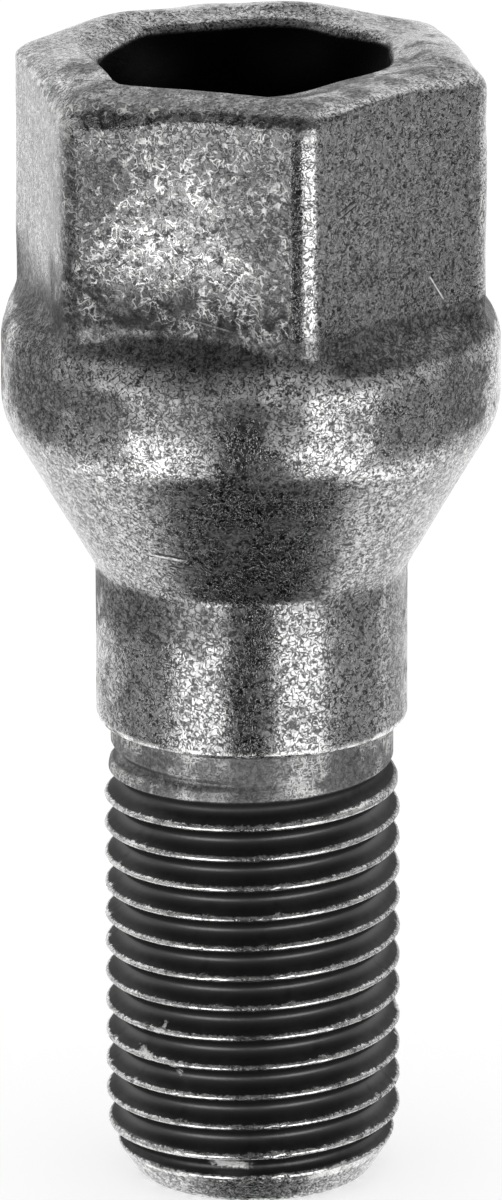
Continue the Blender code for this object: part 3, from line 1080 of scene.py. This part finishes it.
def surround():
    """A white background, which the metal mirrors from behind, and a dim room on the camera's side."""
    world = bpy.data.worlds.new("surround")
    bpy.context.scene.world = world
    world.use_nodes = True
    shader = Shader(world.node_tree)
    away = shader.add("TexCoord", {}, {}, output="Generated")
    x, y, z = (shader.add("SeparateXYZ", {}, {0: away}, output=index) for index in range(3))
    camera, glossy, through = (
        shader.add("LightPath", {}, {}, output=name)
        for name in ("Is Camera Ray", "Is Glossy Ray", "Is Transmission Ray")
    )
    # The metal mirrors white behind the bolt and low at both sides, and elsewhere the dim room, which is
    # lighter at the sides and above
    behind = shader.step(y + abs(z) * 0.28, 0.3, 0.45)
    under = shader.step(z * -1 + abs(x) * 0.3, 0.78, 0.95) * shader.step(abs(x), 0.38, 0.55)
    white = most_of(shader, [camera, through, glossy * most_of(shader, [behind, under])])
    room = 0.022 + shader.step(abs(x), 0.6, 0.9) * 0.38 + shader.step(z, 0.12, 0.5) * 0.15
    level = shader.add("Mix", {"data_type": "FLOAT"}, {0: glossy, 2: 0.6, 3: room})
    background = world.node_tree.nodes["Background"]
    strength = shader.add("Mix", {"data_type": "FLOAT"}, {0: white, 2: level, 3: 1 + glossy * 0.25})
    world.node_tree.links.new(strength.socket, background.inputs["Strength"])
    background.inputs["Color"].default_value = (1, 1, 1, 1)


def floor_sheet(reach, cells):
    """A level sheet of square cells round the origin, as points and faces."""
    steps = np.linspace(-reach, reach, cells + 1)
    x, y = np.meshgrid(steps, steps)
    points = np.column_stack((x.ravel(), y.ravel(), np.zeros(x.size)))
    corner = (np.arange(cells)[:, None] * (cells + 1) + np.arange(cells)).ravel()
    return points, np.stack((corner, corner + 1, corner + cells + 2, corner + cells + 1), -1)


class WHEELBOLT_OT_stage(Operator):
    """Sets the camera, the lamps, the floor and the surround"""

    bl_idname = "wheel_bolt.stage"
    bl_label = "Set the stage"

    def execute(self, context):
        scene = context.scene
        studio = scene.bolt_studio
        camera = bpy.data.objects.new("camera", bpy.data.cameras.new("camera"))
        scene.collection.objects.link(camera)
        away = Vector((0, -math.cos(studio.elevation), math.sin(studio.elevation)))
        turned = away.to_track_quat("Z", "Y").to_matrix().to_4x4() @ Matrix.Rotation(studio.roll, 4, "Z")
        place = Matrix.Translation(away * studio.distance + Vector((0, 0, studio.aim)))
        camera.matrix_world = place @ turned
        camera.data.lens = studio.lens
        camera.data.sensor_width = 36
        camera.data.shift_x = -0.5 / PHOTO_HEIGHT
        camera.data.clip_start, camera.data.clip_end = 0.01, 10
        scene.camera = camera

        top, foot = studio.strip_top, studio.strip_foot
        for name, side in (("strip_left", -1), ("strip_right", 1)):
            azimuth = side * studio.strip_azimuth - studio.strip_turn
            size = (studio.strip_width, top - foot)
            strip_lamp(name, azimuth, studio.strip_distance, size, (top + foot) / 2, studio.strip_power)

        floor = new_mesh("floor", *floor_sheet(2, 8), {})
        floor.data.materials.append(floor_finish(studio.floor, studio.floor_glow))
        floor.visible_glossy = False
        floor.visible_shadow = False
        surround()
        scene.view_settings.view_transform = "Standard"
        return {"FINISHED"}


class WHEELBOLT_PT_bolt(Panel):
    """Lists the bolt's sizes and the steps that make it"""

    bl_label = "Wheel bolt"
    bl_idname = "WHEELBOLT_PT_bolt"
    bl_space_type = "VIEW_3D"
    bl_region_type = "UI"
    bl_category = "Wheel bolt"

    def draw(self, context):
        layout = self.layout
        for name, group in GROUPS.items():
            box = layout.box()
            box.label(text=group.__name__)
            for label in group.__annotations__:
                box.prop(getattr(context.scene, name), label)
        layout.prop(context.scene, "bolt_columns")
        for step in STEPS:
            layout.operator(step.bl_idname)


GROUPS = {
    "bolt_thread": ThreadSizes,
    "bolt_shank": ShankSizes,
    "bolt_head": HeadSizes,
    "bolt_finish": SteelFinish,
    "bolt_studio": StudioSettings,
}
STEPS = (WHEELBOLT_OT_skin, WHEELBOLT_OT_stage)


def register():
    for made in (*GROUPS.values(), *STEPS, WHEELBOLT_PT_bolt):
        bpy.utils.register_class(made)
    for name, group in GROUPS.items():
        setattr(bpy.types.Scene, name, PointerProperty(type=group))
    bpy.types.Scene.bolt_columns = IntProperty(
        name="Columns", description="How many faces go round the bolt", default=208, min=48
    )


def unregister():
    del bpy.types.Scene.bolt_columns
    for name in GROUPS:
        delattr(bpy.types.Scene, name)
    for made in reversed((*GROUPS.values(), *STEPS, WHEELBOLT_PT_bolt)):
        bpy.utils.unregister_class(made)


def main():
    register()
    for step in STEPS:
        group, name = step.bl_idname.split(".")
        getattr(getattr(bpy.ops, group), name)()


if __name__ == "__main__":
    main()
